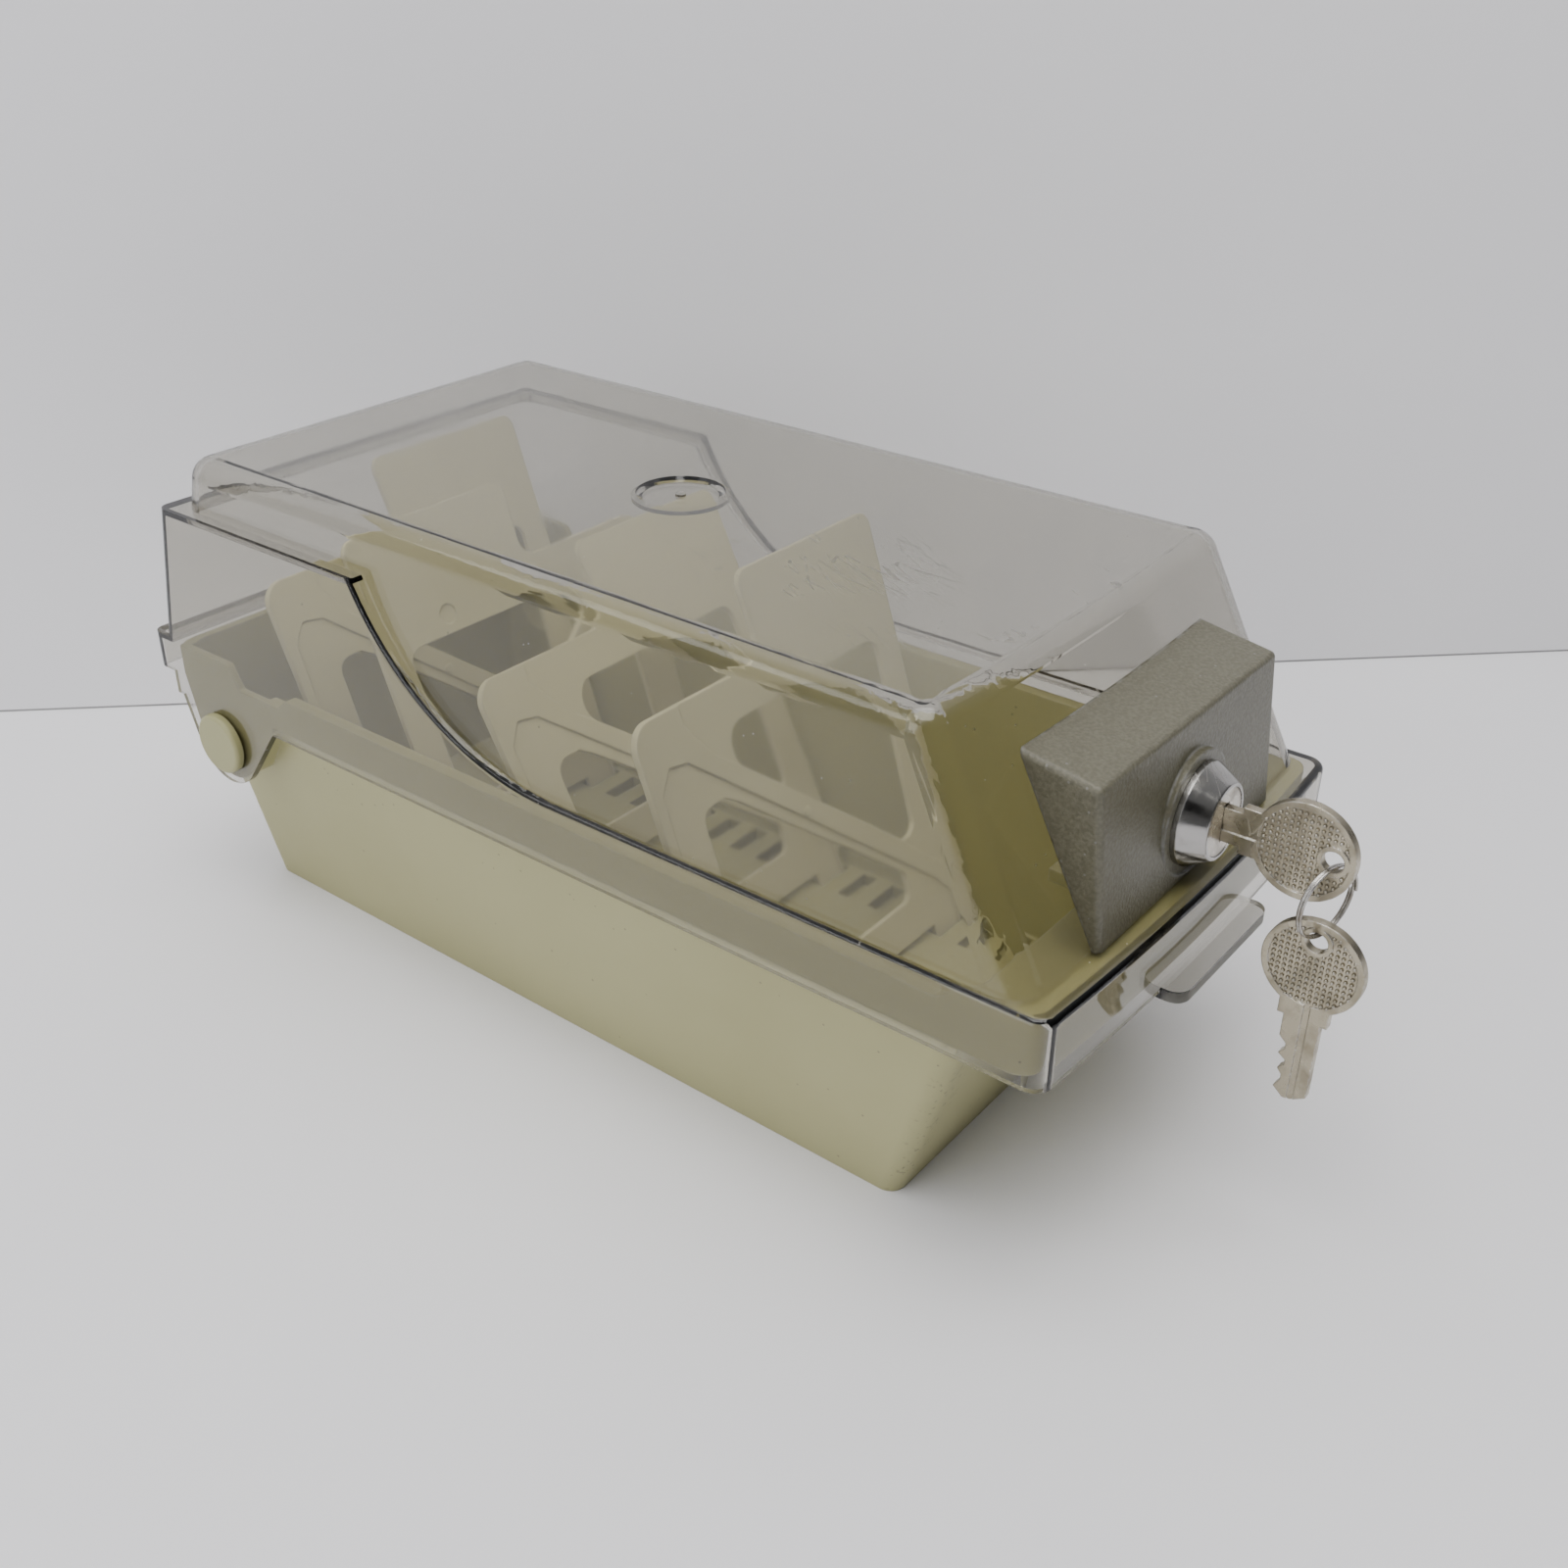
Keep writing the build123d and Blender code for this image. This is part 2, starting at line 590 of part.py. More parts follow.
with BuildPart() as lock_plug:
    with BuildSketch(lock_plane.offset(plug_flange)):
        Circle(plug_flange_radius)
    extrude(amount=plug_face - plug_flange)
    with BuildSketch(lock_plane.offset(plug_flange)):
        Circle(plug_radius)
    extrude(amount=barrel_end - plug_flange - tail_gap)
    # square tail that drives the cam
    with BuildSketch(lock_plane.offset(barrel_end - tail_gap)):
        Rectangle(tail_flats, tail_flats)
    extrude(amount=cam_front - cam_thickness - barrel_end + tail_gap)
    # keyway and wafer slots
    with BuildSketch(lock_plane.offset(plug_face)):
        Rectangle(keyway_width, keyway_height)
    extrude(amount=-plug_face - key_slot_depth, mode=Mode.SUBTRACT)
    for depth in wafer_depths:
        with BuildSketch(lock_plane.offset(depth)):
            Rectangle(*wafer_slot)
        extrude(amount=-wafer_thickness, mode=Mode.SUBTRACT)
    with BuildSketch(lock_plane.offset(cam_front - cam_thickness)):
        Circle(screw_radius)
    extrude(amount=6, mode=Mode.SUBTRACT)
lock_plug.part.label = "lock_plug"
export_step(lock_plug.part, "parts/lock_plug.step")

with BuildPart() as wafers:
    for depth in wafer_depths:
        with BuildSketch(lock_plane.offset(depth - 0.05)):
            Rectangle(*wafer_size)
            Rectangle(keyway_width + 0.2, keyway_height + 0.1, mode=Mode.SUBTRACT)
        extrude(amount=-wafer_thickness + 0.1)
wafers.part.label = "wafers"
export_step(wafers.part, "parts/wafers.step")

with BuildPart() as cam:
    with BuildSketch(lock_plane.offset(cam_front)):
        Circle(cam_hub_radius)
        with Locations((cam_reach / 2, 0)):
            Rectangle(cam_reach, cam_arm_width)
        with Locations((cam_reach - cam_foot_thickness / 2, -cam_foot / 2)):
            Rectangle(cam_foot_thickness, cam_foot)
        Rectangle(tail_flats, tail_flats, mode=Mode.SUBTRACT)
    extrude(amount=-cam_thickness)
    fillet(cam.edges().filter_by(Axis.Y).group_by(Axis.X)[-1], radius=cam_tip_round)
cam.part.label = "cam"
export_step(cam.part, "parts/cam.step")

with BuildPart() as cam_washer:
    with BuildSketch(lock_plane.offset(cam_front - cam_thickness)):
        Circle(cam_washer_radius)
        Circle(screw_radius, mode=Mode.SUBTRACT)
    extrude(amount=-cam_washer_thickness)
cam_washer.part.label = "cam_washer"
export_step(cam_washer.part, "parts/cam_washer.step")

with BuildPart() as cam_screw:
    with BuildSketch(lock_plane.offset(cam_front - cam_thickness - cam_washer_thickness)):
        Circle(screw_head_radius)
    extrude(amount=-screw_head_height)
    fillet(cam_screw.edges().filter_by(GeomType.CIRCLE).sort_by(Axis.Y)[-1], radius=0.5)
    with BuildSketch(lock_plane.offset(cam_front - cam_thickness - cam_washer_thickness)):
        Circle(screw_radius)
    extrude(amount=5.6)
    with BuildSketch(lock_plane.offset(cam_front - cam_thickness - cam_washer_thickness - screw_head_height)):
        Rectangle(3.6, 0.8)
        Rectangle(0.8, 3.6)
    extrude(amount=1, mode=Mode.SUBTRACT)
cam_screw.part.label = "cam_screw"
export_step(cam_screw.part, "parts/cam_screw.step")


# ---- keys and their ring -----------------------------------------------------------------
def key_shape(plane):
    """Key in the plane given: tip at the origin, head along +x, cuts on its lower edge."""
    half = key_blade / 2
    with BuildPart(plane) as key:
        with BuildSketch(plane) as flat:
            with BuildLine():
                Polyline((0, 0.6), (2, half), (key_blade_length, half), (key_blade_length, half + 1.4),
                         (key_blade_length + 4, half + 1.4), (key_blade_length + 4, -half - 1.4),
                         (key_blade_length, -half - 1.4), (key_blade_length, -half), (15, -half),
                         (13.4, -half + 1.6),
                         (12, -half + 1.6), (10.6, -half + 0.4), (9.4, -half + 2), (8, -half + 2), (6.8,
                                                                                                    -half + 0.8),
                         (5.4, -half + 1.8), (4, -half + 1.8), (2, -half + 0.6), (0, -1), close=True)
            make_face()
            with Locations((key_head_centre, 0)):
                Circle(key_head_radius)
            with Locations((key_head_centre + key_hole_offset, 0)):
                Circle(key_hole_radius, mode=Mode.SUBTRACT)
        extrude(amount=key_thickness / 2, both=True)
        # raised rim round the head and the blade's long groove
        with BuildSketch(plane.offset(key_thickness / 2), plane.offset(-key_thickness / 2)):
            with Locations((key_head_centre, 0)):
                Circle(key_head_radius - 1.4)
            with Locations((key_head_centre + key_hole_offset, 0)):
                Circle(key_hole_radius + 1, mode=Mode.SUBTRACT)
            with Locations((key_blade_length / 2 + 1, 0.6)):
                SlotOverall(key_blade_length + 6, 1.4)
        extrude(amount=0.3, both=True, mode=Mode.SUBTRACT)
    return key.part


key_plane = Plane(origin=(0, key_tip_y, lock_z), x_dir=(0, -1, 0), z_dir=(1, 0, 0))
key_in_lock = key_shape(key_plane)
key_in_lock.label = "key_in_lock"
export_step(key_in_lock, "parts/key_in_lock.step")

key_hole_y = key_tip_y - key_head_centre - key_hole_offset
ring_top_z = lock_z - key_hole_radius + ring_wire + ring_clearance
ring_centre_z = ring_top_z - ring_radius
ring_bottom_z = ring_centre_z - ring_radius
with BuildPart() as split_ring:
    with BuildSketch(Plane(origin=(0, key_hole_y, ring_top_z), x_dir=(sin(radians(ring_turn)),
                                                                       cos(radians(ring_turn)), 0),
                           z_dir=(cos(radians(ring_turn)), -sin(radians(ring_turn)), 0))):
        Circle(ring_wire)
    revolve(axis=Axis((0, key_hole_y, ring_centre_z), (sin(radians(ring_turn)), cos(radians(ring_turn)), 0)))
split_ring.part.label = "split_ring"
export_step(split_ring.part, "parts/split_ring.step")

spare_hole_z = ring_bottom_z + ring_wire + ring_clearance - key_hole_radius
spare_tip_z = spare_hole_z - key_head_centre - key_hole_offset
spare_plane = Plane(origin=(0, key_hole_y, spare_tip_z), x_dir=(0, 0, 1), z_dir=(1, 0, 0))
spare_key = key_shape(spare_plane)
spare_key.label = "spare_key"
export_step(spare_key, "parts/spare_key.step")
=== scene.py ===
import json
import math
import bpy
from mathutils import Matrix, Vector


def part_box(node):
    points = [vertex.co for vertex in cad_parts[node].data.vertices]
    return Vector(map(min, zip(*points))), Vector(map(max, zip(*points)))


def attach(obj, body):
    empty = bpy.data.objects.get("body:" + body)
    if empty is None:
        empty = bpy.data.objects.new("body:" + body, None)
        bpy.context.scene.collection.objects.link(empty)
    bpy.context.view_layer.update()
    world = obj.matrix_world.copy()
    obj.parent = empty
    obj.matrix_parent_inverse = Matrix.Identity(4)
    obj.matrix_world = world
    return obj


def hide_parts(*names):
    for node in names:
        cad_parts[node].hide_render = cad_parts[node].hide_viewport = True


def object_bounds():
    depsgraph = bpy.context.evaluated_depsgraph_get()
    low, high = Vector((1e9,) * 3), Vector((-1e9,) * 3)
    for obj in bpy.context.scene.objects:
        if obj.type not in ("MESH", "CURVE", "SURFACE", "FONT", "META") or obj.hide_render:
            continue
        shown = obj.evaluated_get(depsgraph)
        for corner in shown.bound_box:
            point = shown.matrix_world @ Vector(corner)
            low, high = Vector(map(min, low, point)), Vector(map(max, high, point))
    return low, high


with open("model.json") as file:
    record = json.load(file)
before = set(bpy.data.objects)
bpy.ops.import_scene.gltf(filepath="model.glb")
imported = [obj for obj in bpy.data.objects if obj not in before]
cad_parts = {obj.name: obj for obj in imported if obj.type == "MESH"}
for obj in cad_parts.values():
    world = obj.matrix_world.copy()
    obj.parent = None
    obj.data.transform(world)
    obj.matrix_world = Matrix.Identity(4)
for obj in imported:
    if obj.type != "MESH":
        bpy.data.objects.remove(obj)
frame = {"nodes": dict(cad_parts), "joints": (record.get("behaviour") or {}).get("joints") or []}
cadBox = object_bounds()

print("frame loaded")


# new material with an empty tree and its output
def startMaterial(name):
    material = bpy.data.materials.new(name)
    material.use_nodes = True
    tree = material.node_tree
    tree.nodes.clear()
    return material, tree, tree.nodes.new("ShaderNodeOutputMaterial")


# adds a node, sets its properties and its inputs; an input given as a socket is linked
def addNode(tree, kind, settings=None, **inputs):
    node = tree.nodes.new(kind)
    for key, value in (settings or {}).items():
        setattr(node, key, value)
    for key, value in inputs.items():
        byNumber = key[0] == "i" and key[1:].isdigit()
        socket = node.inputs[int(key[1:]) if byNumber else key.replace("_", " ")]
        if isinstance(value, bpy.types.NodeSocket):
            tree.links.new(value, socket)
        else:
            socket.default_value = value
    return node


# one Math node; returns its output
def mathNode(tree, operation, first, second=0.0, third=None):
    inputs = {"i0": first, "i1": second}
    if third is not None:
        inputs["i2"] = third
    return addNode(tree, "ShaderNodeMath", {"operation": operation}, **inputs).outputs[0]


# clamped smooth step between two values
def mapRange(tree, value, low, high, outLow=0.0, outHigh=1.0):
    node = addNode(tree, "ShaderNodeMapRange", {"interpolation_type": "SMOOTHSTEP"}, Value=value)
    node.inputs["From Min"].default_value = low
    node.inputs["From Max"].default_value = high
    node.inputs["To Min"].default_value = outLow
    node.inputs["To Max"].default_value = outHigh
    return node.outputs["Result"]


# colour between two colours
def mixColour(tree, factor, first, second):
    node = addNode(tree, "ShaderNodeMix", {"data_type": "RGBA"})
    for index, value in ((0, factor), (6, first), (7, second)):
        if isinstance(value, bpy.types.NodeSocket):
            tree.links.new(value, node.inputs[index])
        else:
            node.inputs[index].default_value = value
    return node.outputs[2]


# grey colour tuple
def grey(value):
    return (value, value, value, 1.0)


# new shader node group with named float inputs and outputs
def startGroup(name, inputs, outputs):
    group = bpy.data.node_groups.new(name, "ShaderNodeTree")
    for label, value in inputs.items():
        socket = group.interface.new_socket(label, in_out="INPUT", socket_type="NodeSocketFloat")
        socket.default_value = value
    for label in outputs:
        group.interface.new_socket(label, in_out="OUTPUT", socket_type="NodeSocketFloat")
    return group, group.nodes.new("NodeGroupInput"), group.nodes.new("NodeGroupOutput")


# adds a group node to a material
def useGroup(tree, group, **inputs):
    node = tree.nodes.new("ShaderNodeGroup")
    node.node_tree = group
    for key, value in inputs.items():
        node.inputs[key.replace("_", " ")].default_value = value
    return node


# object coordinates, the row frame's metres
def objectPoint(tree):
    return addNode(tree, "ShaderNodeTexCoord").outputs["Object"]


# fine moulded texture: a height and a slow colour drift
def makeGrainGroup():
    group, given, result = startGroup("fineGrain", {"Scale": 2500.0, "Drift Scale": 14.0},
                                      ["Height", "Drift"])
    point = objectPoint(group)
    fine = addNode(group, "ShaderNodeTexNoise", Vector=point, Scale=given.outputs["Scale"], Detail=3.0)
    slow = addNode(group, "ShaderNodeTexNoise", Vector=point, Scale=given.outputs["Drift Scale"], Detail=4.0)
    group.links.new(fine.outputs[0], result.inputs["Height"])
    group.links.new(slow.outputs[0], result.inputs["Drift"])
    return group


# small specks of dirt, sparse and uneven
def makeSpeckGroup():
    group, given, result = startGroup("dirtSpecks", {"Scale": 260.0, "Size": 0.09, "Amount": 0.5}, ["Mask"])
    point = objectPoint(group)
    cells = addNode(group, "ShaderNodeTexVoronoi", {"feature": "F1"}, Vector=point,
                    Scale=given.outputs["Scale"])
    rare = addNode(group, "ShaderNodeSeparateColor", Color=cells.outputs["Color"])
    inside = mathNode(group, "LESS_THAN", cells.outputs["Distance"], given.outputs["Size"])
    chosen = mathNode(group, "LESS_THAN", rare.outputs[0], given.outputs["Amount"])
    group.links.new(mathNode(group, "MULTIPLY", inside, chosen), result.inputs["Mask"])
    return group


# hair scratches: thin broken lines running one way and bending a little
def makeScratchGroup():
    group, given, result = startGroup("hairScratches", {"Turn": 0.4, "Scale": 90.0, "Width": 0.012,
                                                        "Rarity": 0.55},
                                      ["Mask"])
    point = objectPoint(group)
    bend = addNode(group, "ShaderNodeTexNoise", Vector=point, Scale=18.0, Detail=1.0)
    moved = addNode(group, "ShaderNodeVectorMath", {"operation": "MULTIPLY_ADD"}, i0=bend.outputs[1],
                    i1=(0.012, 0.012, 0.0), i2=point)
    turned = addNode(group, "ShaderNodeVectorRotate", {"rotation_type": "Z_AXIS"}, Vector=moved.outputs[0],
                     Angle=given.outputs["Turn"])
    stretched = addNode(group, "ShaderNodeVectorMath", {"operation": "MULTIPLY"}, i0=turned.outputs[0],
                        i1=(1.0, 0.07, 0.2))
    lines = addNode(group, "ShaderNodeTexVoronoi", {"feature": "DISTANCE_TO_EDGE"},
                    Vector=stretched.outputs[0],
                    Scale=given.outputs["Scale"])
    breaks = addNode(group, "ShaderNodeTexNoise", Vector=point, Scale=75.0, Detail=2.0)
    thin = mathNode(group, "LESS_THAN", lines.outputs["Distance"], given.outputs["Width"])
    broken = mathNode(group, "GREATER_THAN", breaks.outputs[0], given.outputs["Rarity"])
    group.links.new(mathNode(group, "MULTIPLY", thin, broken), result.inputs["Mask"])
    return group


# rubbed edges, from the difference between the surface and a rounded normal
def makeEdgeGroup():
    group, given, result = startGroup("edgeWear", {"Radius": 0.0008, "Breakup": 220.0}, ["Mask"])
    group.interface.new_socket("Normal", in_out="OUTPUT", socket_type="NodeSocketVector")
    softNormal = addNode(group, "ShaderNodeBevel", {"samples": 4}, Radius=given.outputs["Radius"])
    geometry = addNode(group, "ShaderNodeNewGeometry")
    agree = addNode(group, "ShaderNodeVectorMath", {"operation": "DOT_PRODUCT"}, i0=softNormal.outputs[0],
                    i1=geometry.outputs["Normal"])
    noise = addNode(group, "ShaderNodeTexNoise", Vector=objectPoint(group), Scale=given.outputs["Breakup"],
                    Detail=3.0)
    edge = mapRange(group, agree.outputs["Value"], 0.995, 0.90)
    patch = mapRange(group, noise.outputs[0], 0.35, 0.65)
    group.links.new(mathNode(group, "MULTIPLY", edge, patch), result.inputs["Mask"])
    group.links.new(softNormal.outputs[0], result.inputs["Normal"])
    return group


grainGroup = makeGrainGroup()
speckGroup = makeSpeckGroup()
scratchGroup = makeScratchGroup()
edgeGroup = makeEdgeGroup()
print("shared effects made")


plasticValues = {
    "trayPale": (0.392, 0.373, 0.190, 1.0),
    "trayDeep": (0.352, 0.334, 0.165, 1.0),
    "dividerPale": (0.640, 0.612, 0.400, 1.0),
    "dividerDeep": (0.580, 0.550, 0.345, 1.0),
    "pinPale": (0.345, 0.332, 0.165, 1.0),
    "pinDeep": (0.315, 0.302, 0.146, 1.0),
    "dirt": (0.10, 0.09, 0.07, 1.0),
    "rubbed": (0.62, 0.60, 0.50, 1.0),
}


scuffValues = {"footY": 0.10775, "lean": 0.344, "spread": (0.0045, 0.0005), "leftSide": (-0.040, -0.046),
               "topEdge": (0.050, 0.044), "scale": 700.0, "patch": (0.58, 0.68), "strength": 0.5}


# opaque moulded plastic with drift, specks, rubbed edges and a fine texture
def makePlastic(name, pale, deep, roughness, speckAmount, scuffs=False):
    material, tree, output = startMaterial(name)
    grain = useGroup(tree, grainGroup, Scale=2600.0, Drift_Scale=11.0)
    specks = useGroup(tree, speckGroup, Scale=230.0, Size=0.07, Amount=speckAmount)
    edges = useGroup(tree, edgeGroup, Radius=0.0007, Breakup=260.0)
    drift = mapRange(tree, grain.outputs["Drift"], 0.3, 0.7)
    colour = mixColour(tree, drift, pale, deep)
    colour = mixColour(tree, mathNode(tree, "MULTIPLY", edges.outputs[0], 0.35), colour,
                       plasticValues["rubbed"])
    colour = mixColour(tree, mathNode(tree, "MULTIPLY", specks.outputs[0], 0.55), colour,
                       plasticValues["dirt"])
    if scuffs:
        place = addNode(tree, "ShaderNodeSeparateXYZ", Vector=objectPoint(tree))
        cornerLine = mathNode(tree, "MULTIPLY_ADD", place.outputs[2], scuffValues["lean"],
                              scuffValues["footY"])
        fromCorner = mathNode(tree, "ABSOLUTE", mathNode(tree, "ADD", place.outputs[1], cornerLine))
        nearCorner = mapRange(tree, fromCorner, *scuffValues["spread"])
        leftSide = mapRange(tree, place.outputs[0], *scuffValues["leftSide"])
        smear = addNode(tree, "ShaderNodeTexNoise", Vector=objectPoint(tree), Scale=scuffValues["scale"],
                        Detail=5.0)
        patch = mapRange(tree, smear.outputs[0], *scuffValues["patch"])
        lowPart = mapRange(tree, place.outputs[2], *scuffValues["topEdge"])
        patch = mathNode(tree, "MULTIPLY", patch, lowPart)
        scuff = mathNode(tree, "MULTIPLY", mathNode(tree, "MULTIPLY", nearCorner, leftSide), patch)
        colour = mixColour(tree, mathNode(tree, "MULTIPLY", scuff, scuffValues["strength"]), colour,
                           plasticValues["dirt"])
    shine = mathNode(tree, "MULTIPLY_ADD", grain.outputs["Drift"], 0.16, roughness - 0.08)
    bump = addNode(tree, "ShaderNodeBump", Height=grain.outputs["Height"], Strength=0.10, Distance=0.0002,
                   Normal=edges.outputs["Normal"])
    surface = addNode(tree, "ShaderNodeBsdfPrincipled", Base_Color=colour, Roughness=shine,
                      Normal=bump.outputs[0],
                      Specular_IOR_Level=0.45, Subsurface_Weight=0.0)
    tree.links.new(surface.outputs[0], output.inputs["Surface"])
    return material


lidValues = {
    "faceTint": (0.955, 0.945, 0.915, 1.0),
    "depthTint": (0.42, 0.395, 0.32, 1.0),
    "density": 200.0,
    "shadow": (0.71, 0.70, 0.65, 1.0),
    "markTint": (0.84, 0.83, 0.80, 1.0),
    "ior": 1.49,
    "wornSpot": (-0.015, -0.067, 0.1267),
    "wornFrontY": 0.112,
    "tabBackY": -0.1512,
    "tabTopZ": 0.0612,
}


# clear smoke-tinted plastic with hair scratches, rubbed edges and a frosted lift tab
def makeLidPlastic():
    material, tree, output = startMaterial("smokeClear")
    point = objectPoint(tree)
    place = addNode(tree, "ShaderNodeSeparateXYZ", Vector=point)
    haze = addNode(tree, "ShaderNodeTexNoise", Vector=point, Scale=22.0, Detail=5.0)
    across = useGroup(tree, scratchGroup, Turn=0.35, Scale=260.0, Width=0.022, Rarity=0.56)
    along = useGroup(tree, scratchGroup, Turn=0.58, Scale=330.0, Width=0.016, Rarity=0.56)
    specks = useGroup(tree, speckGroup, Scale=300.0, Size=0.06, Amount=0.10)
    edges = useGroup(tree, edgeGroup, Radius=0.0006, Breakup=420.0)
    scratches = mathNode(tree, "MAXIMUM", across.outputs[0], along.outputs[0])
    # heavier wear near the middle of the top and along its front
    spot = addNode(tree, "ShaderNodeVectorMath", {"operation": "DISTANCE"}, i0=point,
                   i1=lidValues["wornSpot"])
    near = mapRange(tree, spot.outputs["Value"], 0.045, 0.012, 0.15, 0.55)
    frontBand = mapRange(tree, mathNode(tree, "ABSOLUTE", mathNode(tree, "ADD", place.outputs[1],
                                                                   lidValues["wornFrontY"])), 0.012, 0.003,
                         0.0, 0.5)
    onTop = mapRange(tree, place.outputs[2], 0.1255, 0.1264)
    wear = mathNode(tree, "MULTIPLY", mathNode(tree, "MAXIMUM", near, frontBand), onTop)
    lines = mathNode(tree, "MULTIPLY", scratches, mathNode(tree, "MAXIMUM", wear, 0.12))
    marks = mathNode(tree, "MAXIMUM", lines, mathNode(tree, "MULTIPLY", edges.outputs[0], 0.35))
    marks = mathNode(tree, "MAXIMUM", marks, mathNode(tree, "MULTIPLY", specks.outputs[0], 0.6))
    tabMask = mathNode(tree, "MULTIPLY", mathNode(tree, "LESS_THAN", place.outputs[1], lidValues["tabBackY"]),
                       mathNode(tree, "LESS_THAN", place.outputs[2], lidValues["tabTopZ"]))
    shine = mapRange(tree, haze.outputs[0], 0.35, 0.75, 0.015, 0.07)
    shine = mathNode(tree, "MAXIMUM", shine, mathNode(tree, "MULTIPLY", tabMask, 0.45))
    shine = mathNode(tree, "MAXIMUM", shine, mathNode(tree, "MULTIPLY", marks, 0.55))
    ripple = addNode(tree, "ShaderNodeTexNoise", Vector=point, Scale=28.0, Detail=2.0)
    tabGrain = addNode(tree, "ShaderNodeTexNoise", Vector=point, Scale=1500.0, Detail=2.0)
    height = mathNode(tree, "MULTIPLY_ADD", mathNode(tree, "MULTIPLY", tabGrain.outputs[0], tabMask), 0.25,
                      ripple.outputs[0])
    bump = addNode(tree, "ShaderNodeBump", Height=height, Strength=0.10, Distance=0.0006)
    colour = mixColour(tree, marks, lidValues["faceTint"], lidValues["markTint"])
    clear = addNode(tree, "ShaderNodeBsdfPrincipled", Base_Color=colour, Roughness=shine,
                    IOR=lidValues["ior"], Transmission_Weight=1.0, Normal=bump.outputs[0])
    passing = addNode(tree, "ShaderNodeBsdfTransparent", Color=lidValues["shadow"])
    path = addNode(tree, "ShaderNodeLightPath")
    mixed = addNode(tree, "ShaderNodeMixShader", i0=path.outputs["Is Shadow Ray"], i1=clear.outputs[0],
                    i2=passing.outputs[0])
    tree.links.new(mixed.outputs[0], output.inputs["Surface"])
    depth = addNode(tree, "ShaderNodeVolumeAbsorption", Color=lidValues["depthTint"],
                    Density=lidValues["density"])
    tree.links.new(depth.outputs[0], output.inputs["Volume"])
    return material


housingValues = {"tint": (0.130, 0.121, 0.078, 1.0), "glint": (0.190, 0.178, 0.120, 1.0), "roughness": 0.34,
                 "transmission": 0.32}


# smoke plastic with an etched face, only partly clear
def makeHousingPlastic():
    material, tree, output = startMaterial("smokeEtched")
    grain = useGroup(tree, grainGroup, Scale=1300.0, Drift_Scale=30.0)
    edges = useGroup(tree, edgeGroup, Radius=0.0009, Breakup=300.0)
    specks = useGroup(tree, speckGroup, Scale=340.0, Size=0.10, Amount=0.20)
    sparkle = mapRange(tree, grain.outputs["Height"], 0.30, 0.75)
    colour = mixColour(tree, sparkle, housingValues["tint"], housingValues["glint"])
    colour = mixColour(tree, mathNode(tree, "MULTIPLY", edges.outputs[0], 0.6), colour, grey(0.55))
    colour = mixColour(tree, mathNode(tree, "MULTIPLY", specks.outputs[0], 0.25), colour, grey(0.5))
    shine = mathNode(tree, "MULTIPLY_ADD", grain.outputs["Drift"], 0.2, housingValues["roughness"] - 0.1)
    bump = addNode(tree, "ShaderNodeBump", Height=grain.outputs["Height"], Strength=0.35, Distance=0.0005,
                   Normal=edges.outputs["Normal"])
    surface = addNode(tree, "ShaderNodeBsdfPrincipled", Base_Color=colour, Roughness=shine, IOR=1.49,
                      Transmission_Weight=housingValues["transmission"], Normal=bump.outputs[0])
    tree.links.new(surface.outputs[0], output.inputs["Surface"])
    return material


metalValues = {
    "chrome": ((0.40, 0.39, 0.375, 1.0), (0.30, 0.29, 0.27, 1.0), 0.10),
    "plug": ((0.52, 0.49, 0.43, 1.0), (0.36, 0.33, 0.28, 1.0), 0.24),
    "key": ((0.425, 0.385, 0.295, 1.0), (0.32, 0.285, 0.21, 1.0), 0.26),
    "ring": ((0.46, 0.44, 0.41, 1.0), (0.30, 0.27, 0.23, 1.0), 0.24),
    "steel": ((0.45, 0.45, 0.44, 1.0), (0.33, 0.33, 0.32, 1.0), 0.34),
}


# plated metal with tarnish, hair scratches and rubbed edges
def makeMetal(name, bright, worn, roughness):
    material, tree, output = startMaterial(name)
    grain = useGroup(tree, grainGroup, Scale=1800.0, Drift_Scale=170.0)
    scratches = useGroup(tree, scratchGroup, Turn=0.8, Scale=420.0, Width=0.03, Rarity=0.5)
    edges = useGroup(tree, edgeGroup, Radius=0.0004, Breakup=900.0)
    tarnish = mapRange(tree, grain.outputs["Drift"], 0.42, 0.66)
    colour = mixColour(tree, tarnish, bright, worn)
    colour = mixColour(tree, mathNode(tree, "MULTIPLY", edges.outputs[0], 0.6), colour, grey(0.8))
    shine = mathNode(tree, "MULTIPLY_ADD", tarnish, 0.16, roughness)
    shine = mathNode(tree, "MULTIPLY_ADD", scratches.outputs[0], 0.15, shine)
    bump = addNode(tree, "ShaderNodeBump", Height=grain.outputs["Height"], Strength=0.08, Distance=0.0001,
                   Normal=edges.outputs["Normal"])
    surface = addNode(tree, "ShaderNodeBsdfPrincipled", Base_Color=colour, Roughness=shine, Metallic=1.0,
                      Normal=bump.outputs[0])
    tree.links.new(surface.outputs[0], output.inputs["Surface"])
    return material


trayPlastic = makePlastic("puttyTray", plasticValues["trayPale"], plasticValues["trayDeep"], 0.46, 0.30,
                          scuffs=True)
dividerPlastic = makePlastic("puttyDivider", plasticValues["dividerPale"], plasticValues["dividerDeep"],
                             0.40, 0.16)
pinPlastic = makePlastic("puttyPin", plasticValues["pinPale"], plasticValues["pinDeep"], 0.38, 0.12)
lidPlastic = makeLidPlastic()
housingPlastic = makeHousingPlastic()
metals = {name: makeMetal(name + "Plate", *values) for name, values in metalValues.items()}
print("materials made")


